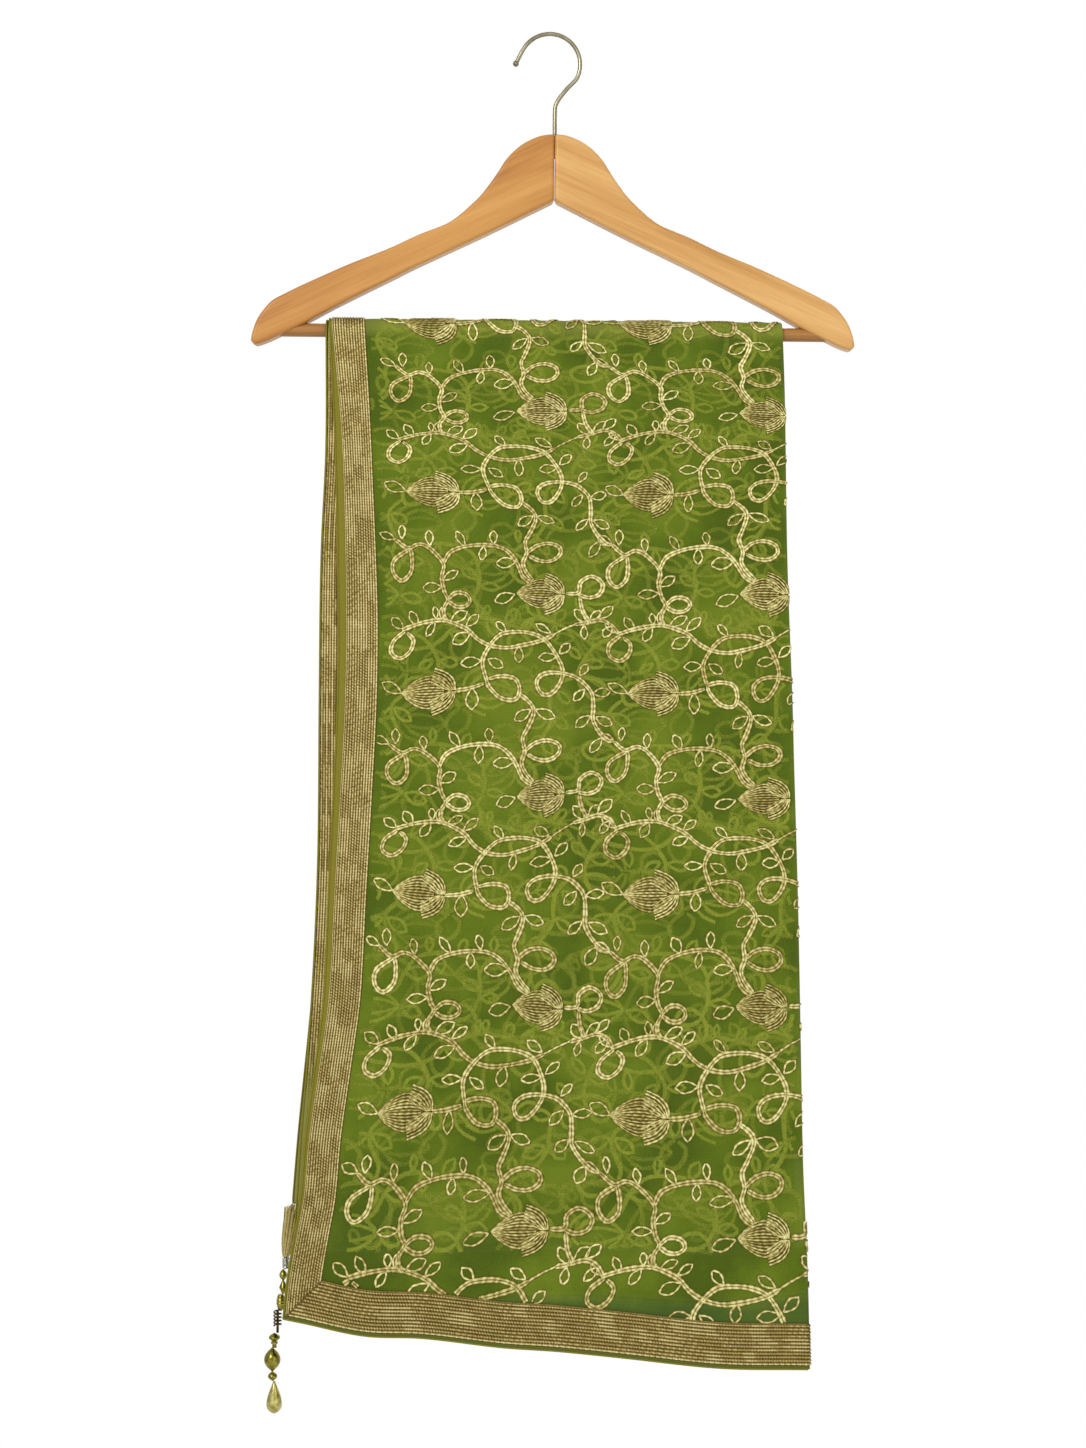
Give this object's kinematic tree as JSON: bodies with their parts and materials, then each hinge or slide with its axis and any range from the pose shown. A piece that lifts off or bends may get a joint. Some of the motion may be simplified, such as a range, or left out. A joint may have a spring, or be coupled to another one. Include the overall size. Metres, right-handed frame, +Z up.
{
  "type": "dupatta stole on a wooden hanger",
  "caption": "Sheer green dupatta stole with gold ribbon borders and vine embroidery, folded lengthwise and hung over the rod of a wooden hanger",
  "frame": {"origin": "inner top of the hook, where it sits on a rail", "axes": "+Z up, front of the hanger faces -Y, +X to the right seen from the front"},
  "size_m": [0.4486, 0.0402, 1.0347],
  "materials": {
    "net": "sheer green net, slight sheen",
    "gota": "woven metallic gold ribbon with beaded rows",
    "wood": "satin varnish over pale straight grain",
    "hook_wire": "antique nickel wire",
    "thread": "loose tan thread",
    "silver": "bright wire",
    "olive_gold": "glossy olive gold bead",
    "dark_brass": "dark oxidised wire",
    "pale_gold": "pale gold glass bead"
  },
  "bodies": {
    "root": {"back_inner": "net", "back_inner_hem_ribbon": "gota", "back_inner_side_ribbon": "gota", "back_outer": "net", "back_outer_hem_ribbon": "gota", "back_outer_side_ribbon": "gota", "back_vine_left": "gota", "back_vine_right": "gota", "cloth_over_rod": "net", "front_inner": "net", "front_inner_hem_ribbon": "gota", "front_inner_side_ribbon": "gota", "front_outer": "net", "front_outer_hem_ribbon": "gota", "front_outer_side_ribbon": "gota", "front_vine_left": "gota", "front_vine_right": "gota", "hanger_arm_left": "wood", "hanger_arm_right": "wood", "hanger_hook": "hook_wire", "hanger_rod": "wood", "tassel_ball_low": "olive_gold", "tassel_ball_neck": "olive_gold", "tassel_coil": "dark_brass", "tassel_drop": "pale_gold", "tassel_knot": "silver", "tassel_oval": "olive_gold", "tassel_ribbed": "olive_gold", "tassel_top_pair": "olive_gold", "tassel_tuft": "thread"}
  },
  "joints": []
}
